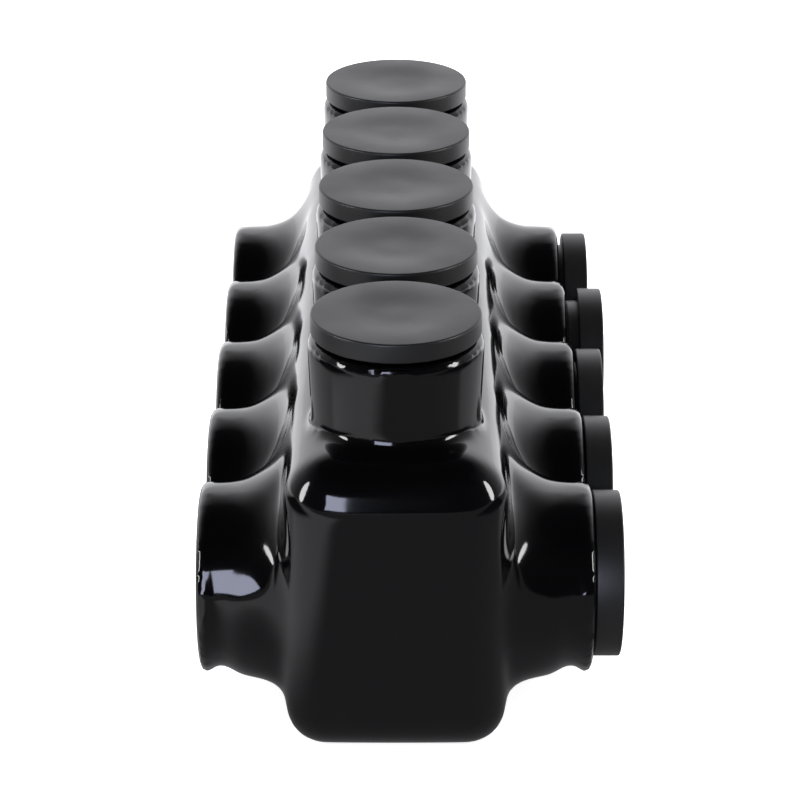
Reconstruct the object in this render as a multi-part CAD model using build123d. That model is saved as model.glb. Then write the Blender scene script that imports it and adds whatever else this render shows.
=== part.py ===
from build123d import *
import os

# Insulated multi-tap connector, dual-sided entry: an aluminium bar in a dipped plastisol cover.
# Sizes are in millimetres. X runs along the wires, Y along the row of ports, Z up.
# The origin is the centre of the underside.

# Row of ports
port_count = 5
port_pitch = 29.0
end_margin = 21.9          # from the last port's axis to the cover's end face

# Terminal bar
bar_width = 29.0
bar_height = 43.5
bar_edge_radius = 5.0      # extruded corners, along the bar
bar_end_chamfer = 3.0      # sawn ends, broken all round
conductor_bore_radius = 9.5
conductor_height = 18.7    # bore axis above the bar's underside
bore_countersink = 1.0

# Insulating cover
cover_wall = 2.9
bar_clearance = 0.1        # between the bar and its pocket, at the sides, ends and top
top_edge_radius = 9.5
end_edge_radius = 8.0
bottom_edge_radius = 6.5
port_bore_radius = 11.4    # the same in the wire ports and the screw ports
mouth_edge_radius = 0.6

# Wire ports, on both sides
wire_port_length = 13.8    # mouth, from the cover's side
wire_neck_radius = 14.7
wire_belly_radius = 15.7
wire_neck_length = 3.4
wire_belly_run = 4.6       # over which the neck swells to the belly
wire_root_radius = 5.0     # fillet into the cover's side
wire_root_share = 0.9      # of the belly's straight part that this fillet takes at most
wire_lip_radius = 1.4
drip_lip_width = 2.2
drip_lip_proud = 0.5       # how far the lip stands out of the neck, before it sags
drip_lip_sag = 0.7

# Screw ports, on top
screw_port_height = 13.7   # rim above the cover's top
screw_rim_radius = 13.85
screw_root_outer_radius = 13.3
screw_root_radius = 4.0    # fillet into the cover's top
screw_lip_radius = 0.9

# Set screws
set_screw_radius = 7.94
set_screw_length = 14.0
set_screw_hex = 8.0
set_screw_hex_depth = 7.5
set_screw_chamfer = 1.2
set_screw_fit = 0.06       # between the screw's thread and the tapped hole
set_screw_lift = 0.4       # tip above the conductor bore's ceiling, screw backed out
tapped_hole_countersink = 0.8

# Port plugs
plug_head_radius = 13.27
plug_edge_radius = 0.35
plug_dish_radius = 10.3
plug_dish_depth = 0.45
plug_stem_length = 11.0
plug_stem_wall = 1.8
plug_stem_fit = 0.08       # between the stem's ribs and the port's bore
plug_stem_taper = 0.9      # how much the stem narrows at its end
plug_rib_height = 0.35
plug_rib_width = 1.6
plug_rib_spacing = 4.2
plug_web = 1.2             # roof of the hollow stem, below the head
wire_plug_head = 4.4
screw_plug_head = 3.2
screw_plug_stand_off = 0.4
# How far each wire-port plug stands out of its seat, from the near port to the far one
wire_plug_stand_offs = (0.0, 0.1, 0.4, 2.2, 0.9)

# Sizes that follow
row_half = (port_count - 1) * port_pitch / 2
port_places = [place * port_pitch - row_half for place in range(port_count)]
cover_length = 2 * (row_half + end_margin)
cover_width = bar_width + 2 * (bar_clearance + cover_wall)
cover_side = cover_width / 2
cover_height = 2 * cover_wall + bar_height + bar_clearance
bar_length = cover_length - 2 * (cover_wall + bar_clearance)
bar_top = cover_wall + bar_height
conductor_z = cover_wall + conductor_height
bore_ceiling = conductor_z + conductor_bore_radius
screw_rim_z = cover_height + screw_port_height
tube_start = cover_side - top_edge_radius
wire_port_reach = cover_side + wire_port_length
neck_start = wire_port_reach - wire_neck_length
belly_end = neck_start - wire_belly_run
wire_root = min(wire_root_radius, wire_root_share * (belly_end - cover_side))
standing = (Align.CENTER, Align.CENTER, Align.MIN)


def along_x(shape):
    """Turn a shape made along Z so that it points along X."""
    return Rot(0, 90, 0) * shape


def rounded_block():
    """The cover's block: soft vertical corners, a rounder top and a rounder underside."""
    body = Box(cover_width, cover_length, cover_height, align=standing)
    body = fillet(body.edges().filter_by(Axis.Z), end_edge_radius)
    body = fillet(body.faces().sort_by(Axis.Z)[-1].edges(), top_edge_radius)
    return fillet(body.faces().sort_by(Axis.Z)[0].edges(), bottom_edge_radius)


def wire_port_outside():
    """A wire port's tube along X: a belly next to the block, an S-curve, a neck and a rounded mouth."""
    with BuildSketch() as section:
        with BuildLine():
            Polyline(
                (belly_end, wire_belly_radius),
                (tube_start, wire_belly_radius),
                (tube_start, 0),
                (wire_port_reach, 0),
                (wire_port_reach, wire_neck_radius),
                (neck_start, wire_neck_radius),
            )
            Spline(
                (neck_start, wire_neck_radius),
                (belly_end, wire_belly_radius),
                tangents=[(-1, 0), (-1, 0)],
            )
        make_face()
        outer_mouth = section.vertices().group_by(Axis.X)[-1].sort_by(Axis.Y)[-1]
        fillet(outer_mouth, wire_lip_radius)
    return revolve(section.sketch, Axis.X)


def drip_lip():
    """The bead at a wire port's mouth, which sagged a little as the dipped cover cured."""
    bead = Cylinder(wire_neck_radius + drip_lip_proud, drip_lip_width, align=standing)
    bead = fillet(bead.edges().filter_by(GeomType.CIRCLE), drip_lip_width * 0.45)
    start = wire_port_reach - drip_lip_width
    return Pos(start, 0, -drip_lip_sag) * along_x(bead)


def screw_port_outside():
    """A screw port's tube, from inside the block up to its rounded rim, a little wider at the rim."""
    foot = cover_height - top_edge_radius
    height = screw_rim_z - foot
    tube = Cone(screw_root_outer_radius, screw_rim_radius, height, align=standing)
    rim = tube.edges().filter_by(GeomType.CIRCLE).sort_by(Axis.Z)[-1]
    return Pos(0, 0, foot) * fillet(rim, screw_lip_radius)


def blended(body, tube, radius):
    """The body with a tube joined to it by a fillet round the tube's root."""
    joined = body + tube
    roots = new_edges(body, tube, combined=joined)
    return joined.fillet(radius, roots)


def port_section(place):
    """The slice of the cover that carries one port of each kind, cut halfway to its neighbours."""
    body = rounded_block()
    for turn in (0, 180):
        tube = Pos(0, place, conductor_z) * Rot(0, 0, turn) * wire_port_outside()
        body = blended(body, tube, wire_root)
    body = blended(body, Pos(0, place, 0) * screw_port_outside(), screw_root_radius)
    first = place == port_places[0]
    last = place == port_places[-1]
    low = -cover_length if first else place - port_pitch / 2
    high = cover_length if last else place + port_pitch / 2
    slab = Box(4 * wire_port_reach, high - low, 4 * screw_rim_z)
    return body & Pos(0, (low + high) / 2, 0) * slab


def bar_blank(clearance=0.0):
    """The bar before drilling, or its pocket in the cover when a clearance is given."""
    width = bar_width + 2 * clearance
    length = bar_length + 2 * clearance
    bar = Box(width, length, bar_height + clearance, align=standing)
    bar = fillet(bar.edges().filter_by(Axis.Y), bar_edge_radius)
    ends = bar.faces().sort_by(Axis.Y)
    bar = chamfer(ends[0].edges() + ends[-1].edges(), bar_end_chamfer)
    return Pos(0, 0, cover_wall) * bar


def insulation_cover():
    """The one-piece dipped cover, with the bar's pocket and the bores of all its ports."""
    cover = Part() + [port_section(place) for place in port_places]
    for place in port_places:
        for turn in (0, 180):
            cover += Pos(0, place, conductor_z) * Rot(0, 0, turn) * drip_lip()
    cover -= bar_blank(bar_clearance)
    for place in port_places:
        wire_bore = along_x(Cylinder(port_bore_radius, 2 * wire_port_reach))
        cover -= Pos(0, place, conductor_z) * wire_bore
        screw_bore = Cylinder(port_bore_radius, screw_rim_z - bar_top, align=standing)
        cover -= Pos(0, place, bar_top) * screw_bore
    circles = cover.edges().filter_by(GeomType.CIRCLE)
    mouths = circles.filter_by(lambda edge: abs(edge.radius - port_bore_radius) < 1e-4)
    open_ends = mouths.filter_by(
        lambda edge: abs(abs(edge.center().X) - wire_port_reach) < 1e-3
        or abs(edge.center().Z - screw_rim_z) < 1e-3
    )
    return fillet(open_ends, mouth_edge_radius)


def terminal_bar():
    """The aluminium bar: a conductor bore through it at each port, and a tapped hole above each."""
    bar = bar_blank()
    for place in port_places:
        conductor_bore = along_x(Cylinder(conductor_bore_radius, 2 * bar_width))
        bar -= Pos(0, place, conductor_z) * conductor_bore
        tapped_radius = set_screw_radius + set_screw_fit
        tapped_hole = Cylinder(tapped_radius, bar_top - conductor_z, align=standing)
        bar -= Pos(0, place, conductor_z) * tapped_hole
    circles = bar.edges().filter_by(GeomType.CIRCLE)
    bore_mouths = circles.filter_by(lambda edge: abs(abs(edge.center().X) - bar_width / 2) < 1e-3)
    bar = chamfer(bore_mouths, bore_countersink)
    hole_mouths = bar.edges().filter_by(GeomType.CIRCLE).filter_by(
        lambda edge: abs(edge.center().Z - bar_top) < 1e-3
    )
    return chamfer(hole_mouths, tapped_hole_countersink)


def set_screw():
    """A hex-socket set screw that stands on its tip."""
    screw = Cylinder(set_screw_radius, set_screw_length, align=standing)
    screw = chamfer(screw.edges().filter_by(GeomType.CIRCLE), set_screw_chamfer)
    hexagon = RegularPolygon(set_screw_hex / 2, 6, major_radius=False)
    socket = Pos(0, 0, set_screw_length) * extrude(hexagon, -set_screw_hex_depth)
    return screw - socket


def port_plug(head):
    """A push-in plug along Z, its head's underside at Z = 0: a dished head on a hollow ribbed stem."""
    rib_radius = port_bore_radius - plug_stem_fit
    stem_radius = rib_radius - plug_rib_height
    end_radius = stem_radius - plug_stem_taper
    with BuildSketch(Plane.XZ) as section:
        with BuildLine():
            Polyline(
                (plug_dish_radius, head),
                (plug_head_radius, head),
                (plug_head_radius, 0),
                (stem_radius, 0),
                (stem_radius, plug_rib_spacing - plug_stem_length),
                (end_radius, -plug_stem_length),
                (end_radius - plug_stem_wall, -plug_stem_length),
                (stem_radius - plug_stem_wall, -plug_web),
                (0, -plug_web),
                (0, head - plug_dish_depth),
            )
            TangentArc((0, head - plug_dish_depth), (plug_dish_radius, head), tangent=(1, 0))
        make_face()
        head_corners = section.vertices().group_by(Axis.X)[-1]
        fillet(head_corners, plug_edge_radius)
    plug = revolve(section.sketch, Axis.Z)
    for rib in (1, 2):
        ring = Cylinder(rib_radius, plug_rib_width)
        ring = fillet(ring.edges().filter_by(GeomType.CIRCLE), plug_rib_height * 0.9)
        middle = -rib * plug_rib_spacing + plug_rib_width
        bore = Cylinder(stem_radius - plug_stem_wall / 2, 2 * plug_rib_width)
        plug += Pos(0, 0, middle) * (ring - bore)
    return plug


def placed_pieces():
    """Every piece of the connector in its place, by its name."""
    pieces = {"insulation_cover": insulation_cover(), "terminal_bar": terminal_bar()}
    for index, place in enumerate(port_places):
        number = index + 1
        screw_foot = bore_ceiling + set_screw_lift
        pieces[f"set_screw_{number}"] = Pos(0, place, screw_foot) * set_screw()
        cap_seat = screw_rim_z + screw_plug_stand_off
        pieces[f"screw_port_plug_{number}"] = Pos(0, place, cap_seat) * port_plug(screw_plug_head)
        wire_seat = wire_port_reach + wire_plug_stand_offs[index % len(wire_plug_stand_offs)]
        seat = Pos(wire_seat, place, conductor_z)
        pieces[f"wire_port_plug_{number}"] = seat * along_x(port_plug(wire_plug_head))
    return pieces


os.makedirs("parts", exist_ok=True)
for name, piece in placed_pieces().items():
    export_step(piece, f"parts/{name}.step")
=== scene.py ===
from math import cos, hypot, pi, radians, sin, tan

import bmesh
import bpy
from mathutils import Matrix, Vector


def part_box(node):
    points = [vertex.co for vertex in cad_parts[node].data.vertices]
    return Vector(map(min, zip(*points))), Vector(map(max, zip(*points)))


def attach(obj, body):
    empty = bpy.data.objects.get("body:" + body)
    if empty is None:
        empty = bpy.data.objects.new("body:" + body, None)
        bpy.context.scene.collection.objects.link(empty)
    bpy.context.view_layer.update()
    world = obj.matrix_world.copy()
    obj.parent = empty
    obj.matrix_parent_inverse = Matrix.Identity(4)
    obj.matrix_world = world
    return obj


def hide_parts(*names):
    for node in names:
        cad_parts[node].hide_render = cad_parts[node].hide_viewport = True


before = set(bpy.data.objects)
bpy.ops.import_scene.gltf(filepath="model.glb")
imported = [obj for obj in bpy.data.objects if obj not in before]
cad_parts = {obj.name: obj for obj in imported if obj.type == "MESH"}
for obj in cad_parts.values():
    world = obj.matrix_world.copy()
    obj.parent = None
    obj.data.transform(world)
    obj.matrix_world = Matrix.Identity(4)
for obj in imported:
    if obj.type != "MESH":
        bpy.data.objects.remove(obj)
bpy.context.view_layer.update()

# Insulated multi-tap connector: an aluminium bar in a dipped plastisol cover, with set screws and plugs.
# Sizes are in metres, X along the wires, Y along the row of ports, Z up.

MM = 0.001

# Places and sizes that the frame gives
cover_low, cover_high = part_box("insulation_cover")
bar_low, bar_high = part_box("terminal_bar")
port_count = sum(name.startswith("screw_port_plug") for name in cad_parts)
port_numbers = range(1, port_count + 1)


def middle(node):
    """The middle of a CAD node's box."""
    low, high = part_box(node)
    return (low + high) / 2


port_places = [middle(f"screw_port_plug_{number}").y for number in port_numbers]
conductor_z = middle("wire_port_plug_1").z
port_pitch = port_places[1] - port_places[0]
rim_z = cover_high.z
mouth_x = cover_high.x
end_y = cover_high.y
cover_wall = bar_low.z - cover_low.z
bar_clearance = 0.1 * MM
cover_side = bar_high.x + bar_clearance + cover_wall
cover_top = bar_high.z + bar_clearance + cover_wall

# Cover block
side_top_radius = 9.5 * MM
near_top_radius = 8.5 * MM
far_top_radius = 13.0 * MM         # softer than in front, as the dip ran off there
near_corner_radius = 6.5 * MM
end_ball_setback = 4.0 * MM
corner_radius = 8.0 * MM
bottom_radius = 6.5 * MM
end_bow = 1.2 * MM                 # how far the near end's corners lie behind its middle

# Ports of the cover
port_bore_radius = 11.4 * MM
mouth_edge_radius = 0.7 * MM
wire_neck_radius = 14.7 * MM
wire_belly_radius = 15.65 * MM
wire_belly_sag = 0.9 * MM
wire_neck_length = 3.4 * MM
neck_run = mouth_x - wire_neck_length - cover_side      # from the cover's side to the neck
wire_belly_run = 4.6 * MM
wire_lip_radius = 1.4 * MM
wire_root_radius = 9.8 * MM
low_root_share = 0.4               # of this below a port, where the dip ran off
front_root_share = 0.5             # of this past the first port
back_root_share = 0.35             # of this past the last port
wire_root_overrun = 6.0 * MM       # how far a root's flare may pass the flat part of the cover's side
drip_lip_radius = 15.2 * MM
drip_lip_width = 2.2 * MM
drip_lip_sag = 0.7 * MM
drip_lip_edge_radius = 0.99 * MM
screw_rim_radius = 13.85 * MM
screw_waist_radius = 13.35 * MM
screw_root_radius = 1.4 * MM
screw_root_overrun = 0.5 * MM      # how far a root's flare may pass the flat part of the cover's top
screw_lip_radius = 0.7 * MM
screw_waist_rise = 0.1 * MM        # where the waist starts, above the cover's top
screw_root_depth = 0.5 * MM        # and where its root's flare starts, below it
screw_root_edge_radius = 1.12 * MM
mouth_cut_depth = 0.1 * MM         # where the widening of a bore's mouth starts
mouth_cut_width = 2.2 * MM         # how far it widens, up to the end of its cutter
mouth_cut_overshoot = 0.8 * MM
cut_overshoot = 0.1 * MM

# Dipped skin
skin_voxel = 0.77 * MM
skin_smoothings = 8
root_smoothings = 90
port_root_share = 0.3              # of these at a wire port's own root, all of them in the valleys
wire_root_reach = 6.0 * MM         # full smoothing this near to a wire port's root
wire_root_fade = 12.0 * MM         # and none beyond this
valley_reach = 4.0 * MM            # the valleys' share this near to the middle between two ports
valley_fade = 11.0 * MM            # and the ports' share beyond this

# Terminal bar
bar_edge_radius = 5.0 * MM
bar_end_chamfer = 3.0 * MM
conductor_bore_radius = 9.5 * MM
bore_countersink = 1.0 * MM
tapped_countersink_depth = 0.8 * MM
tapped_countersink_width = 0.9 * MM
groove_overlap = 0.3 * MM          # how far a thread groove's cutter starts inside the tapped hole
groove_depth = 0.7 * MM

# Set screws
screw_radius = 7.94 * MM
tapped_radius = 8.0 * MM
thread_pitch = 1.41 * MM           # eighteen turns to the inch
thread_depth = 0.8 * MM
thread_foot = 0.44                 # of the pitch, half the ridge's width at its foot
thread_crest = 0.06                # of the pitch, half its width at its crest
thread_foot_overlap = 0.2 * MM     # how far the screw's ridge starts inside its core
screw_chamfer = 1.2 * MM
hex_across_flats = 8.0 * MM
hex_depth = 7.5 * MM
hex_point_depth = 1.1 * MM
hex_overshoot = 0.2 * MM

# Port plugs
plug_edge_radius = 0.35 * MM
plug_dish_radius = 10.3 * MM
plug_dish_depth = 0.45 * MM
plug_dish_floor = 0.25             # of the dish's radius, over which its middle is flat
plug_stem_length = 11.0 * MM
plug_stem_wall = 1.8 * MM
plug_stem_fit = 0.08 * MM
plug_stem_taper = 0.9 * MM
plug_rib_height = 0.35 * MM
plug_rib_width = 1.6 * MM
plug_rib_spacing = 4.2 * MM
plug_rib_slope = 0.28              # of a rib's width, over which each of its sides rises
plug_web = 1.2 * MM
plug_foot_radius = 0.4 * MM
plug_hollow_radius = 0.6 * MM

# Facets of curved surfaces
fine_steps = 128
cutter_steps = 96
thread_steps = 48
root_steps = 24
dish_steps = 10
ball_segments = 48
ball_rings = 24
round_segments = 8

smooth_angle = radians(32)


# Mesh helpers

def new_piece(name, bm):
    """A finished object at the origin from a bmesh, which is freed."""
    mesh = bpy.data.meshes.new(name)
    bm.to_mesh(mesh)
    bm.free()
    piece = bpy.data.objects.new(name, mesh)
    bpy.context.scene.collection.objects.link(piece)
    return piece


def turned(outline, roundings=None, steps=fine_steps):
    """A solid turned about Z from (radius, height) points that start and end on the axis.

    roundings gives the radius of the arc at a point, by its place in the outline.
    """
    bm = bmesh.new()
    points = [bm.verts.new((radius, 0, height)) for radius, height in outline]
    for pair in zip(points, points[1:]):
        bm.edges.new(pair)
    for place, radius in (roundings or {}).items():
        before = Vector(outline[place - 1]) - Vector(outline[place])
        after = Vector(outline[place + 1]) - Vector(outline[place])
        offset = radius / tan(before.angle(after) / 2)
        bmesh.ops.bevel(bm, geom=[points[place]], offset=offset, offset_type="OFFSET", affect="VERTICES",
                        segments=round_segments, profile=0.5, material=-1)
    bmesh.ops.spin(bm, geom=bm.verts[:] + bm.edges[:], axis=(0, 0, 1), cent=(0, 0, 0),
                   angle=2 * pi, steps=steps, use_merge=True)
    bmesh.ops.remove_doubles(bm, verts=bm.verts, dist=0.002 * MM)
    bmesh.ops.recalc_face_normals(bm, faces=bm.faces)
    return bm


def placed(bm, matrix):
    """The bmesh with every vertex moved by a matrix."""
    bmesh.ops.transform(bm, matrix=matrix, verts=bm.verts)
    return bm


def add_to(bm, part):
    """Adds a second bmesh to the first and frees it."""
    mesh = bpy.data.meshes.new("part")
    part.to_mesh(mesh)
    part.free()
    bm.from_mesh(mesh)
    bpy.data.meshes.remove(mesh)


def apply_modifiers(piece):
    """Replaces the piece's mesh by what its modifiers make of it."""
    depsgraph = bpy.context.evaluated_depsgraph_get()
    final = bpy.data.meshes.new_from_object(piece.evaluated_get(depsgraph))
    old = piece.data
    piece.modifiers.clear()
    piece.data = final
    bpy.data.meshes.remove(old)


def cut(piece, cutters, operation="DIFFERENCE"):
    """Cuts each bmesh of cutters out of the piece, or joins it to the piece, or keeps what they share."""
    tools = [new_piece("cutter", cutter) for cutter in cutters]
    for tool in tools:
        step = piece.modifiers.new("cut", "BOOLEAN")
        step.operation = operation
        step.solver = "MANIFOLD"
        step.object = tool
    apply_modifiers(piece)
    for tool in tools:
        bpy.data.objects.remove(tool)


def shade(piece):
    """Smooth shading, with hard edges where faces meet at a clear angle."""
    bm = bmesh.new()
    bm.from_mesh(piece.data)
    bmesh.ops.remove_doubles(bm, verts=bm.verts, dist=0.001 * MM)
    bmesh.ops.dissolve_degenerate(bm, edges=bm.edges, dist=0.001 * MM)
    for face in bm.faces:
        face.smooth = True
    for edge in bm.edges:
        edge.smooth = len(edge.link_faces) == 2 and edge.calc_face_angle() < smooth_angle
    bm.to_mesh(piece.data)
    bm.free()


def fade(value, start, end):
    """1 at start and before it, 0 at end and past it, with a smooth turn between."""
    share = min(max((end - value) / (end - start), 0), 1)
    return share * share * (3 - 2 * share)


def finish_with(piece, material):
    """Gives the whole piece one material."""
    piece.data.materials.clear()
    piece.data.materials.append(material)


def towards_x(side, place):
    """The placing of a port's form, made along Z, as a wire port on one side of the cover."""
    return Matrix.Translation((0, place, conductor_z)) @ Matrix.Rotation(side * pi / 2, 4, "Y")


# Cover

def add_ball(bm, centre, radii):
    """Adds a ball, or an oval one, by its centre and its radii along X, Y and Z."""
    place = Matrix.LocRotScale(Vector(centre), None, Vector(radii))
    bmesh.ops.create_uvsphere(bm, u_segments=ball_segments, v_segments=ball_rings, radius=1, matrix=place)


def block():
    """The cover's block: the hull of balls at its corners, rounder along the top and softer at the ends."""
    bm = bmesh.new()
    for x_sign in (-1, 1):
        ends = ((-1, near_corner_radius, near_top_radius), (1, corner_radius, far_top_radius))
        for y_sign, turn_radius, top_radius in ends:
            for height, setback in ((top_radius, 0), (side_top_radius, end_ball_setback)):
                radii = (min(side_top_radius, height), height, height)
                centre = (x_sign * (cover_side - radii[0]), y_sign * (end_y - radii[1] - setback),
                          cover_top - radii[2])
                add_ball(bm, centre, radii)
            centre = (x_sign * (cover_side - turn_radius), y_sign * (end_y - turn_radius), bottom_radius)
            add_ball(bm, centre, (turn_radius, turn_radius, bottom_radius))
    hull = bmesh.ops.convex_hull(bm, input=bm.verts, use_existing_faces=False)
    inside = {item for item in hull["geom_interior"] + hull["geom_unused"]
              if isinstance(item, bmesh.types.BMVert)}
    bmesh.ops.delete(bm, geom=list(inside), context="VERTS")
    bmesh.ops.recalc_face_normals(bm, faces=bm.faces)
    return bm


def flare_share(centre, point, low, high, tube_radius, flare_radius, overrun):
    """How much of its distance from the tube's axis a point of a root's flare keeps.

    The flare stays whole over the flat face from low to high and shrinks to the tube past its edges.
    """
    out = point - centre
    if out.length <= tube_radius:
        return 1
    rooms = []
    for axis in (0, 1):
        bound = high[axis] if out[axis] > 0 else low[axis]
        if abs(out[axis]) > 0.001 * MM:
            rooms.append((bound - centre[axis]) / out[axis] * out.length)
    keep = min(max((min(rooms) + overrun - tube_radius) / flare_radius, 0), 1)
    return (tube_radius + (out.length - tube_radius) * keep) / out.length


def corner_drop(value, start, radius):
    """How far a rounded edge has curved away from its face, past the start of its rounding."""
    past = min(max(value - start, 0), radius)
    return radius - (radius ** 2 - past ** 2) ** 0.5


def wire_port_radius(run):
    """A wire port's outer radius at a run from the cover's side: wide root, belly and narrower neck."""
    rise = corner_drop(wire_root_radius - run, 0, wire_root_radius)
    belly = fade(run, neck_run - wire_belly_run, neck_run)
    return wire_neck_radius + (wire_belly_radius - wire_neck_radius) * belly + rise


def wire_root_share(along, up, place):
    """How much of its full width a wire port's root keeps at a place beside or above the port's axis."""
    half = wire_belly_radius / 2
    kept = 1 - (1 - low_root_share) * fade(up, -half, half / 2)
    if place == port_places[0]:
        kept = min(kept, 1 - (1 - front_root_share) * fade(along, -half, 0))
    if place == port_places[-1]:
        kept = min(kept, 1 - (1 - back_root_share) * fade(-along, -half, 0))
    return kept


def wire_port(side, place):
    """A wire port's tube: its root follows the cover's rounded edges and its belly sagged as it cured."""
    foot = cover_side - side_top_radius
    outline = [(0, foot), (wire_port_radius(0), foot)]
    for step in range(root_steps + 1):
        run = neck_run * (step / root_steps) ** 2
        outline.append((wire_port_radius(run), cover_side + run))
    outline += [(wire_neck_radius, mouth_x), (0, mouth_x)]
    bm = turned(outline, {len(outline) - 2: wire_lip_radius})
    placed(bm, towards_x(side, place))
    low = Vector((-end_y + near_corner_radius, bottom_radius))
    high = Vector((end_y - corner_radius, cover_top - side_top_radius))
    for vert in bm.verts:
        radius = hypot(vert.co.y - place, vert.co.z - conductor_z)
        share = flare_share(Vector((place, conductor_z)), Vector((vert.co.y, vert.co.z)), low, high,
                            wire_belly_radius, wire_root_radius, wire_root_overrun)
        if radius > wire_belly_radius:
            kept = wire_root_share(vert.co.y - place, vert.co.z - conductor_z, place)
            share *= (wire_belly_radius + (radius - wire_belly_radius) * kept) / radius
        vert.co.y = place + (vert.co.y - place) * share
        vert.co.z = conductor_z + (vert.co.z - conductor_z) * share
        vert.co.z -= wire_belly_sag * (1 - fade(radius, wire_neck_radius, wire_belly_radius))
        drop = corner_drop(vert.co.z, high.y, side_top_radius)
        drop += corner_drop(-vert.co.z, -bottom_radius, bottom_radius)
        drop += corner_drop(abs(vert.co.y), end_y - near_corner_radius, near_corner_radius)
        vert.co.x -= side * drop * fade(abs(vert.co.x), cover_side, cover_side + wire_root_radius / 2)
    return bm


def drip_lip(side, place):
    """The bead at a wire port's mouth, which ran down a little before the cover cured."""
    start = mouth_x - drip_lip_width
    outline = [(0, start), (drip_lip_radius, start), (drip_lip_radius, mouth_x), (0, mouth_x)]
    bm = turned(outline, {1: drip_lip_edge_radius, 2: drip_lip_edge_radius})
    return placed(bm, Matrix.Translation((0, 0, -drip_lip_sag)) @ towards_x(side, place))


def screw_port(place):
    """A screw port's tube: a flared root, which the rounded shoulders keep narrow, and a round rim."""
    foot = cover_top - side_top_radius
    outline = [
        (0, foot),
        (screw_waist_radius + screw_root_radius, foot),
        (screw_waist_radius + screw_root_radius, cover_top - screw_root_depth),
        (screw_waist_radius, cover_top + screw_waist_rise),
        (screw_rim_radius, rim_z),
        (0, rim_z),
    ]
    bm = placed(turned(outline, {3: screw_root_edge_radius, 4: screw_lip_radius}),
                Matrix.Translation((0, place, 0)))
    low = Vector((side_top_radius - cover_side, near_top_radius - end_y))
    high = Vector((cover_side - side_top_radius, end_y - far_top_radius))
    for vert in bm.verts:
        if vert.co.z < cover_top + screw_root_radius:
            share = flare_share(Vector((0, place)), vert.co.xy, low, high,
                                screw_waist_radius, screw_root_radius, screw_root_overrun)
            vert.co.x *= share
            vert.co.y = place + (vert.co.y - place) * share
    return bm


def root_weight(point):
    """How much of the roots' smoothing a point of the skin gets: all of it between wire ports."""
    place = min(port_places, key=lambda y: abs(point.y - y))
    from_wire_axis = hypot(point.y - place, point.z - conductor_z)
    wire = hypot(abs(point.x) - cover_side, from_wire_axis - wire_belly_radius)
    valley = min(abs(abs(point.y - y) - port_pitch / 2) for y in port_places[1:-1])
    wire_share = port_root_share + (1 - port_root_share) * fade(valley, valley_reach, valley_fade)
    return fade(wire, wire_root_reach, wire_root_fade) * wire_share


def bowed(point):
    """The point with the near end's face bowed, its middle left where it is."""
    half_height = cover_top / 2
    off_middle = (point.x / cover_side) ** 2 + ((point.z - half_height) / half_height) ** 2
    share = fade(point.y, -end_y, port_places[0] - wire_neck_radius)
    return point + Vector((0, end_bow * min(off_middle, 2) / 2 * share, 0))


def port_bore(bar_face, mouth):
    """The cutter of a bore along Z, from inside the bar's face to past the mouth, its edge rounded."""
    start = bar_face - cover_wall
    past = mouth + mouth_cut_overshoot
    outline = [(0, start), (port_bore_radius, start), (port_bore_radius, mouth - mouth_cut_depth),
               (port_bore_radius + mouth_cut_width, past), (0, past)]
    return turned(outline, {2: mouth_edge_radius}, cutter_steps)


def insulation_cover():
    """The one-piece dipped cover: its forms run together under one skin, and then it is hollowed."""
    bm = block()
    for place in port_places:
        for side in (-1, 1):
            add_to(bm, wire_port(side, place))
            add_to(bm, drip_lip(side, place))
        add_to(bm, screw_port(place))
    cover = new_piece("dipped_cover", bm)
    skin = cover.modifiers.new("skin", "REMESH")
    skin.mode = "VOXEL"
    skin.voxel_size = skin_voxel
    apply_modifiers(cover)
    roots = cover.vertex_groups.new(name="roots")
    for vert in cover.data.vertices:
        weight = root_weight(vert.co)
        if weight > 0:
            roots.add([vert.index], weight, "REPLACE")
    blend = cover.modifiers.new("blended_roots", "SMOOTH")
    blend.factor = 0.5
    blend.iterations = root_smoothings
    blend.vertex_group = "roots"
    flow = cover.modifiers.new("flow", "SMOOTH")
    flow.factor = 0.5
    flow.iterations = skin_smoothings
    apply_modifiers(cover)
    cover.vertex_groups.clear()
    for vert in cover.data.vertices:
        vert.co = bowed(vert.co)
    cutters = [bar_blank(bar_clearance)]
    for place in port_places:
        cutters += [placed(port_bore(bar_high.x, mouth_x), towards_x(side, place)) for side in (-1, 1)]
    for place in port_places:
        cutters.append(placed(port_bore(bar_high.z, rim_z), Matrix.Translation((0, place, 0))))
    cut(cover, cutters)
    shade(cover)
    return cover


# Bar

def bar_blank(clearance=0.0):
    """The bar before drilling, or the cutter of its pocket when a clearance is given."""
    grow = Vector((clearance, clearance, 0))
    low = bar_low - grow
    high = bar_high + grow + Vector((0, 0, clearance))
    size = high - low
    bm = bmesh.new()
    box = Matrix.LocRotScale((low + high) / 2, None, size)
    bmesh.ops.create_cube(bm, size=1, matrix=box)
    along = [edge for edge in bm.edges
             if abs(edge.verts[0].co.y - edge.verts[1].co.y) > size.y / 2]
    bmesh.ops.bevel(bm, geom=along, offset=bar_edge_radius, offset_type="OFFSET", affect="EDGES",
                    segments=round_segments, profile=0.5, material=-1)
    rims = [edge for edge in bm.edges
            if abs(edge.verts[0].co.y - edge.verts[1].co.y) < size.y / 2]
    bmesh.ops.bevel(bm, geom=rims, offset=bar_end_chamfer, offset_type="OFFSET", affect="EDGES",
                    segments=1, profile=0.5, material=-1)
    bmesh.ops.recalc_face_normals(bm, faces=bm.faces)
    return bm


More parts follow.
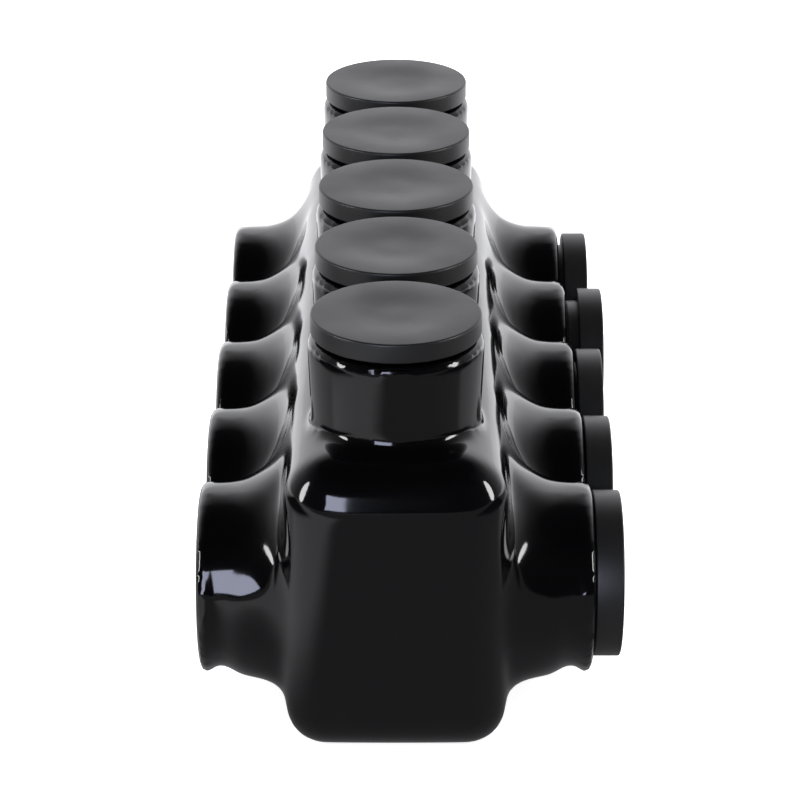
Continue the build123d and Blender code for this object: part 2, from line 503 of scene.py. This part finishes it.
def helix(inner, outer, height):
    """A thread's ridge about Z: a V section wound at the thread's pitch from 0 up to a height."""
    turns = int(height / thread_pitch) + 1
    bm = bmesh.new()
    half = thread_pitch * thread_foot
    flat = thread_pitch * thread_crest
    corners = ((inner, -half), (outer, -flat), (outer, flat), (inner, half))
    section = bm.faces.new([bm.verts.new((radius, 0, rise)) for radius, rise in corners])
    bmesh.ops.spin(bm, geom=section.verts[:] + section.edges[:] + [section], axis=(0, 0, 1), cent=(0, 0, 0),
                   dvec=(0, 0, thread_pitch / thread_steps), angle=2 * pi * turns,
                   steps=turns * thread_steps, use_merge=False)
    bmesh.ops.recalc_face_normals(bm, faces=bm.faces)
    return bm


def tapped_hole(place):
    """The cutters of one tapped hole: the plain hole with its countersink, and the thread's grooves."""
    sink = bar_high.z - tapped_countersink_depth
    past = bar_high.z + cut_overshoot
    outline = [(0, conductor_z), (tapped_radius, conductor_z), (tapped_radius, sink),
               (tapped_radius + tapped_countersink_width, past), (0, past)]
    hole = placed(turned(outline, steps=cutter_steps), Matrix.Translation((0, place, 0)))
    grooves = helix(tapped_radius - groove_overlap, tapped_radius + groove_depth, bar_high.z - conductor_z)
    return [hole, placed(grooves, Matrix.Translation((0, place, conductor_z)))]


def conductor_bore(place):
    """The cutter of one conductor bore, countersunk at both ends."""
    far = bar_high.x + cut_overshoot
    wide = conductor_bore_radius + bore_countersink + cut_overshoot
    deep = bar_high.x - bore_countersink
    outline = [(0, -far), (wide, -far), (conductor_bore_radius, -deep), (conductor_bore_radius, deep),
               (wide, far), (0, far)]
    return placed(turned(outline, steps=cutter_steps), towards_x(1, place))


def terminal_bar():
    """The bar: extruded, sawn, drilled across at each port and tapped from above."""
    bar = new_piece("drilled_bar", bar_blank())
    cutters = [conductor_bore(place) for place in port_places]
    for place in port_places:
        cutters += tapped_hole(place)
    cut(bar, cutters)
    shade(bar)
    return bar


# Set screws

def set_screw(number):
    """A set screw with its rolled thread, chamfered ends and hex socket."""
    node = f"set_screw_{number}"
    low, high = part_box(node)
    length = high.z - low.z
    core_radius = screw_radius - thread_depth
    core = turned([(0, 0), (core_radius, 0), (core_radius, length), (0, length)], steps=cutter_steps)
    screw = new_piece(f"threaded_{node}", core)
    thread = helix(core_radius - thread_foot_overlap, screw_radius, length)
    cut(screw, [placed(thread, Matrix.Translation((0, 0, -thread_pitch / 2)))], "UNION")
    tip = screw_radius - screw_chamfer
    envelope = turned([(0, 0), (tip, 0), (screw_radius, screw_chamfer),
                       (screw_radius, length - screw_chamfer), (tip, length), (0, length)],
                      steps=cutter_steps)
    cut(screw, [envelope], "INTERSECT")
    cut(screw, [hex_socket(length)])
    screw.data.transform(Matrix.Translation((0, port_places[number - 1], low.z)))
    shade(screw)
    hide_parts(node)
    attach(screw, node)
    return screw


def hex_socket(length):
    """The cutter of a set screw's socket: a hexagon with a drill point below it."""
    bm = bmesh.new()
    radius = hex_across_flats / 2 / cos(pi / 6)
    floor = length - hex_depth
    place = Matrix.Translation((0, 0, floor))
    bmesh.ops.create_circle(bm, cap_ends=True, segments=6, radius=radius, matrix=place)
    lifted = bmesh.ops.extrude_face_region(bm, geom=bm.faces[:])
    corners = [item for item in lifted["geom"] if isinstance(item, bmesh.types.BMVert)]
    bmesh.ops.translate(bm, vec=(0, 0, hex_depth + hex_overshoot), verts=corners)
    bottom = [face for face in bm.faces if abs(face.calc_center_median().z - floor) < 0.01 * MM]
    bmesh.ops.poke(bm, faces=bottom, offset=-hex_point_depth)
    bmesh.ops.recalc_face_normals(bm, faces=bm.faces)
    return bm


# Port plugs

def plug_form(head):
    """A plug along Z, its head's underside at 0: a dished head on a hollow ribbed stem."""
    low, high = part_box("screw_port_plug_1")
    head_radius = (high.x - low.x) / 2
    rib_radius = port_bore_radius - plug_stem_fit
    stem_radius = rib_radius - plug_rib_height
    end_radius = stem_radius - plug_stem_taper
    rib_rise = plug_rib_width * plug_rib_slope
    outline = [(0, head - plug_dish_depth)]
    for step in range(1, dish_steps + 1):
        share = step / dish_steps
        rise = plug_dish_depth * (1 - fade(share, plug_dish_floor, 1))
        outline.append((plug_dish_radius * share, head - plug_dish_depth + rise))
    crown = len(outline)
    outline += [(head_radius, head), (head_radius, 0), (stem_radius, 0)]
    for rib in (1, 2):
        centre = -rib * plug_rib_spacing + plug_rib_width
        half = plug_rib_width / 2
        outline += [(stem_radius, centre + half), (rib_radius, centre + half - rib_rise),
                    (rib_radius, centre - half + rib_rise), (stem_radius, centre - half)]
    outline += [
        (stem_radius, plug_rib_spacing - plug_stem_length),
        (end_radius, -plug_stem_length),
        (end_radius - plug_stem_wall, -plug_stem_length),
        (stem_radius - plug_stem_wall, -plug_web),
        (0, -plug_web),
    ]
    end = len(outline) - 1
    roundings = {crown: plug_edge_radius, crown + 1: plug_edge_radius, end - 3: plug_foot_radius,
                 end - 2: plug_foot_radius, end - 1: plug_hollow_radius}
    return turned(outline, roundings)


def screw_port_plug(number):
    """The plug in a screw port, pointing down."""
    node = f"screw_port_plug_{number}"
    low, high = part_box(node)
    seat = low.z + plug_stem_length
    bm = placed(plug_form(high.z - seat), Matrix.Translation((0, port_places[number - 1], seat)))
    return finished_plug(bm, node)


def wire_port_plug(number):
    """The plug in a wire port of the right-hand side, pointing inwards."""
    node = f"wire_port_plug_{number}"
    low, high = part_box(node)
    seat = low.x + plug_stem_length
    bm = plug_form(high.x - seat)
    move = Matrix.Translation((seat, port_places[number - 1], conductor_z)) @ Matrix.Rotation(pi / 2, 4, "Y")
    return finished_plug(placed(bm, move), node)


def finished_plug(bm, node):
    """The plug's object, riding as its node does."""
    plug = new_piece(f"moulded_{node}", bm)
    shade(plug)
    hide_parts(node)
    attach(plug, node)
    return plug


# Materials

def colour(code):
    """A linear colour with full alpha from an sRGB hex code."""
    channels = [int(code[place:place + 2], 16) / 255 for place in (1, 3, 5)]
    return [((value + 0.055) / 1.055) ** 2.4 if value > 0.04045 else value / 12.92
            for value in channels] + [1.0]


def node(tree, kind, settings=None, links=None):
    """Adds a node, sets its properties and inputs, and links its inputs from other nodes' outputs."""
    added = tree.nodes.new(kind)
    for name, value in (settings or {}).items():
        if isinstance(name, str) and hasattr(added, name):
            setattr(added, name, value)
        else:
            added.inputs[name].default_value = value
    for name, source in (links or {}).items():
        tree.links.new(source, added.inputs[name])
    return added


def new_material(name):
    """A material with an empty tree and its output node."""
    material = bpy.data.materials.new(name)
    material.use_nodes = True
    tree = material.node_tree
    tree.nodes.clear()
    return material, tree, tree.nodes.new("ShaderNodeOutputMaterial")


def dipped_plastisol():
    """Black plastisol, dipped and oven cured: a deep wet gloss that waves a little over its thick skin."""
    material, tree, output = new_material("dipped_plastisol")
    place = node(tree, "ShaderNodeTexCoord").outputs["Object"]
    run = node(tree, "ShaderNodeTexNoise", {"Scale": 1 / (14 * MM), "Detail": 1.0, "Roughness": 0.4},
               {"Vector": place})
    peel = node(tree, "ShaderNodeTexNoise", {"Scale": 1 / (2.2 * MM), "Detail": 2.0, "Roughness": 0.5},
                {"Vector": place})
    slow = node(tree, "ShaderNodeBump", {"Strength": 1.0, "Distance": 0.05 * MM},
                {"Height": run.outputs["Fac"]})
    fine = node(tree, "ShaderNodeBump", {"Strength": 1.0, "Distance": 0.0025 * MM},
                {"Height": peel.outputs["Fac"], "Normal": slow.outputs["Normal"]})
    patch = node(tree, "ShaderNodeMapRange", {"From Min": 0.35, "From Max": 0.65, "To Min": 0.06,
                                              "To Max": 0.1}, {"Value": run.outputs["Fac"]})
    shader = node(tree, "ShaderNodeBsdfPrincipled",
                  {"Base Color": colour("#030304"), "IOR": 1.5},
                  {"Roughness": patch.outputs["Result"], "Normal": fine.outputs["Normal"]})
    tree.links.new(shader.outputs["BSDF"], output.inputs["Surface"])
    return material


def moulded_rubber():
    """Charcoal vinyl rubber, moulded in a blasted tool: a dry, even sheen with a very fine grain."""
    material, tree, output = new_material("moulded_rubber")
    place = node(tree, "ShaderNodeTexCoord").outputs["Object"]
    grain = node(tree, "ShaderNodeTexNoise", {"Scale": 1 / (0.35 * MM), "Detail": 2.0}, {"Vector": place})
    bloom = node(tree, "ShaderNodeTexNoise", {"Scale": 1 / (9 * MM), "Detail": 3.0}, {"Vector": place})
    bump = node(tree, "ShaderNodeBump", {"Strength": 1.0, "Distance": 0.004 * MM},
                {"Height": grain.outputs["Fac"]})
    tone = node(tree, "ShaderNodeMix", {"data_type": "RGBA", 6: colour("#0c0c0e"), 7: colour("#111112")},
                {0: bloom.outputs["Fac"]})
    dull = node(tree, "ShaderNodeMapRange", {"From Min": 0.3, "From Max": 0.7, "To Min": 0.38,
                                             "To Max": 0.45}, {"Value": bloom.outputs["Fac"]})
    shader = node(tree, "ShaderNodeBsdfPrincipled", {"IOR": 1.5},
                  {"Base Color": tone.outputs[2], "Roughness": dull.outputs["Result"],
                   "Normal": bump.outputs["Normal"]})
    tree.links.new(shader.outputs["BSDF"], output.inputs["Surface"])
    return material


def plated_aluminium(name, code, roughness, line_direction):
    """Tin-plated aluminium: a soft grey shine over the fine lines that the die or the tool left."""
    material, tree, output = new_material(name)
    place = node(tree, "ShaderNodeTexCoord").outputs["Object"]
    stretch = node(tree, "ShaderNodeMapping", {"Scale": line_direction}, {"Vector": place})
    lines = node(tree, "ShaderNodeTexNoise", {"Scale": 1 / (0.4 * MM), "Detail": 3.0},
                 {"Vector": stretch.outputs["Vector"]})
    cloud = node(tree, "ShaderNodeTexNoise", {"Scale": 1 / (5 * MM), "Detail": 3.0}, {"Vector": place})
    bump = node(tree, "ShaderNodeBump", {"Strength": 1.0, "Distance": 0.006 * MM},
                {"Height": lines.outputs["Fac"]})
    dull = node(tree, "ShaderNodeMapRange", {"From Min": 0.3, "From Max": 0.7, "To Min": roughness - 0.06,
                                             "To Max": roughness + 0.08}, {"Value": cloud.outputs["Fac"]})
    shader = node(tree, "ShaderNodeBsdfPrincipled", {"Base Color": colour(code), "Metallic": 1.0},
                  {"Roughness": dull.outputs["Result"], "Normal": bump.outputs["Normal"]})
    tree.links.new(shader.outputs["BSDF"], output.inputs["Surface"])
    return material


# Pieces

plastisol = dipped_plastisol()
rubber = moulded_rubber()
bar_metal = plated_aluminium("plated_bar_aluminium", "#c4c6c8", 0.32, (1, 0.05, 1))
screw_metal = plated_aluminium("plated_screw_aluminium", "#b9babc", 0.28, (1, 1, 1))

cover = insulation_cover()
finish_with(cover, plastisol)
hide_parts("insulation_cover")
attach(cover, "connector")

bar = terminal_bar()
finish_with(bar, bar_metal)
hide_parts("terminal_bar")
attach(bar, "connector")

for number in port_numbers:
    finish_with(set_screw(number), screw_metal)
    finish_with(screw_port_plug(number), rubber)
    finish_with(wire_port_plug(number), rubber)


# Studio

camera_distance = 489.8 * MM       # in front of the middle of the row
camera_height = 243.0 * MM
camera_tilt = radians(90 - 23.88)
camera_lens = 136.08
camera_shift = 0.005

lamp_place = Vector((0, 0.1, 1.5))
lamp_aim = Vector((0, 0, 0))
lamp_size = 1.8
lamp_power = 20

floor_reach = 2.0
room_radius = 1.8
card_radius = 1.6                  # the lights and cards that the gloss sees, inside the room
glow_height = 0.3 * MM             # of the floor's glow, which only the gloss sees
front_floor_level = 0.22


def add_camera():
    """The camera in front of the end of the row, looking down along it."""
    camera = bpy.data.cameras.new("camera")
    camera.lens = camera_lens
    camera.sensor_width = 36
    camera.shift_x = camera_shift
    camera.clip_start = 0.01
    view = bpy.data.objects.new("camera", camera)
    view.location = (0, -camera_distance, camera_height)
    view.rotation_euler = (camera_tilt, 0, 0)
    bpy.context.scene.collection.objects.link(view)
    bpy.context.scene.camera = view


def staged(name, bm, material):
    """A piece of the studio, which isn't part of the object."""
    thing = new_piece(name, bm)
    thing.data.materials.append(material)
    return thing


def for_reflections_only(thing):
    """Only the object's gloss sees this thing: it takes no light and no place in the picture."""
    thing.visible_camera = False
    thing.visible_diffuse = False
    thing.visible_shadow = False
    thing.visible_volume_scatter = False


def ramp(tree, factor, stops):
    """A grey ramp through (place, value) stops, from an output between 0 and 1."""
    added = node(tree, "ShaderNodeValToRGB", links={"Fac": factor})
    elements = added.color_ramp.elements
    for element, (place, value) in ((elements[0], stops[0]), (elements[1], stops[-1])):
        element.position = place
        element.color = (value, value, value, 1)
    for place, value in stops[1:-1]:
        elements.new(place).color = (value, value, value, 1)
    return added.outputs["Color"]


def glowing(name, code, strength):
    """An even glow of one colour."""
    material, tree, output = new_material(name)
    shader = node(tree, "ShaderNodeEmission", {"Color": colour(code), "Strength": strength})
    tree.links.new(shader.outputs["Emission"], output.inputs["Surface"])
    return material


def share_of_room(tree, axis):
    """The place along an axis as a share of the room, 0 at one side and 1 at the other."""
    place = node(tree, "ShaderNodeTexCoord").outputs["Object"]
    parts = node(tree, "ShaderNodeSeparateXYZ", links={"Vector": place})
    return node(tree, "ShaderNodeMapRange", {"From Min": -room_radius, "From Max": room_radius},
                {"Value": parts.outputs[axis]}).outputs["Result"]


def glowing_room():
    """A room that is bright behind the object, grey at its sides and dark in front and overhead."""
    material, tree, output = new_material("glowing_room")
    along = ramp(tree, share_of_room(tree, "Y"),
                 [(0.0, 0.01), (0.3, 0.03), (0.5, 0.15), (0.7, 0.4), (0.9, 1.0), (1.0, 1.0)])
    up = ramp(tree, share_of_room(tree, "Z"),
              [(0.0, 1.0), (0.75, 1.0), (0.83, 0.6), (0.89, 0.3), (0.93, 0.07), (1.0, 0.02)])
    tone = node(tree, "ShaderNodeMath", {"operation": "MULTIPLY"}, {0: along, 1: up}).outputs["Value"]
    level = node(tree, "ShaderNodeMath", {"operation": "MULTIPLY", 1: 1.5}, {0: tone}).outputs["Value"]
    shader = node(tree, "ShaderNodeEmission", {"Color": colour("#fbfbff")}, {"Strength": level})
    tree.links.new(shader.outputs["Emission"], output.inputs["Surface"])
    return material


def pale_floor():
    """A white acrylic sheet, lit through from below."""
    material, tree, output = new_material("lit_acrylic")
    shader = node(tree, "ShaderNodeBsdfPrincipled",
                  {"Base Color": colour("#f7f7f7"), "Roughness": 0.9, "Specular IOR Level": 0.0,
                   "Emission Color": colour("#ffffff"), "Emission Strength": 0.85})
    tree.links.new(shader.outputs["BSDF"], output.inputs["Surface"])
    return material


def soft_mask(tree, axes, low, high, soft):
    """1 between two corners on the floor and 0 outside them, with soft edges of a width."""
    mask = None
    for axis, start, end in zip(("X", "Y"), low, high):
        for edge, before, after in ((start, 0, 1), (end, 1, 0)):
            side = node(tree, "ShaderNodeMapRange",
                        {"interpolation_type": "SMOOTHSTEP", "From Min": edge - soft / 2,
                         "From Max": edge + soft / 2, "To Min": before, "To Max": after},
                        {"Value": axes[axis]}).outputs["Result"]
            if mask is None:
                mask = side
            else:
                mask = node(tree, "ShaderNodeMath", {"operation": "MULTIPLY"},
                            {0: mask, 1: side}).outputs["Value"]
    return mask


def glowing_floor(patches):
    """What the gloss sees of the floor: patches of light with soft edges, each over the ones before."""
    material, tree, output = new_material("glowing_floor")
    place = node(tree, "ShaderNodeTexCoord").outputs["Object"]
    axes = node(tree, "ShaderNodeSeparateXYZ", links={"Vector": place}).outputs
    level = node(tree, "ShaderNodeValue").outputs["Value"]
    level.default_value = front_floor_level
    for low, high, soft, value in patches:
        mask = soft_mask(tree, axes, low, high, soft)
        level = node(tree, "ShaderNodeMix", {"data_type": "FLOAT", 3: value}, {0: mask, 2: level}).outputs[0]
    shader = node(tree, "ShaderNodeEmission", {"Color": colour("#fbfbff")}, {"Strength": level})
    tree.links.new(shader.outputs["Emission"], output.inputs["Surface"])
    return material


def flat_card(low, high, height):
    """A level card between two corners."""
    bm = bmesh.new()
    centre = ((low[0] + high[0]) / 2, (low[1] + high[1]) / 2, height)
    place = Matrix.LocRotScale(Vector(centre), None, Vector((high[0] - low[0], high[1] - low[1], 1)))
    bmesh.ops.create_grid(bm, x_segments=1, y_segments=1, size=0.5, matrix=place)
    return bm


def dome_patch(azimuths, elevations, rounded):
    """A patch of a dome between two azimuths, 0 in front and rising to the right, and two elevations."""
    bm = bmesh.new()
    if rounded:
        bmesh.ops.create_circle(bm, cap_ends=True, segments=ball_segments, radius=0.5)
    else:
        bmesh.ops.create_grid(bm, x_segments=24, y_segments=12, size=0.5)
    for vert in bm.verts:
        azimuth = radians(azimuths[0] + (vert.co.x + 0.5) * (azimuths[1] - azimuths[0]))
        elevation = radians(elevations[0] + (vert.co.y + 0.5) * (elevations[1] - elevations[0]))
        aim = Vector((sin(azimuth) * cos(elevation), -cos(azimuth) * cos(elevation), sin(elevation)))
        vert.co = aim * card_radius
    return bm


def add_world():
    """A white room."""
    world = bpy.data.worlds.new("white_room")
    bpy.context.scene.world = world
    world.use_nodes = True
    tree = world.node_tree
    tree.nodes.clear()
    output = tree.nodes.new("ShaderNodeOutputWorld")
    light = node(tree, "ShaderNodeBackground", {"Color": colour("#ffffff"), "Strength": 1.0})
    tree.links.new(light.outputs["Background"], output.inputs["Surface"])


def add_lamp():
    """A wide soft lamp overhead, which faces its aim and lights the dull surfaces alone."""
    light = bpy.data.lights.new("overhead", "AREA")
    light.shape = "RECTANGLE"
    light.size = lamp_size
    light.size_y = lamp_size
    light.energy = lamp_power
    lamp = bpy.data.objects.new("overhead", light)
    lamp.location = lamp_place
    lamp.rotation_euler = (lamp_aim - lamp_place).to_track_quat("-Z", "Y").to_euler()
    lamp.visible_glossy = False
    bpy.context.scene.collection.objects.link(lamp)


add_camera()
add_world()
add_lamp()
staged("floor", flat_card((-floor_reach, -floor_reach), (floor_reach, floor_reach), 0), pale_floor())

room = bmesh.new()
bmesh.ops.create_uvsphere(room, u_segments=ball_segments, v_segments=ball_rings, radius=room_radius)
for_reflections_only(staged("room", room, glowing_room()))

# What the gloss sees in front: name, azimuths, elevations, whether it is round, colour and strength
dome_cards = (
    ("window", (-27, -5), (3, 29), False, "#dfe4ff", 9.0),
    ("left_softbox", (-80, -68), (0, 34), True, "#ffffff", 14.0),
    ("right_softbox", (72, 84), (0, 34), True, "#ffffff", 14.0),
)
for name, azimuths, elevations, rounded, code, strength in dome_cards:
    patch = dome_patch(azimuths, elevations, rounded)
    for_reflections_only(staged(name, patch, glowing(name, code, strength)))

# What the gloss sees on the floor: near left and far right corners, width of the soft edges and level
floor_patches = (
    ((-3.0, -0.30), (-0.045, 0.1), 0.04, 0.85),
    ((-3.0, -0.16), (-0.14, 0.04), 0.05, 0.03),
    ((0.16, -0.22), (3.0, 0.0), 0.05, 0.03),
    ((-0.14, -0.06), (-0.035, 0.1), 0.02, 0.5),
    ((0.035, -0.06), (0.16, 0.1), 0.02, 0.5),
    ((-3.0, 0.1), (3.0, 3.0), 0.06, 1.7),
)
whole_floor = flat_card((-card_radius, -card_radius), (card_radius, card_radius), glow_height)
for_reflections_only(staged("floor_glow", whole_floor, glowing_floor(floor_patches)))

bpy.context.scene.view_settings.view_transform = "Standard"
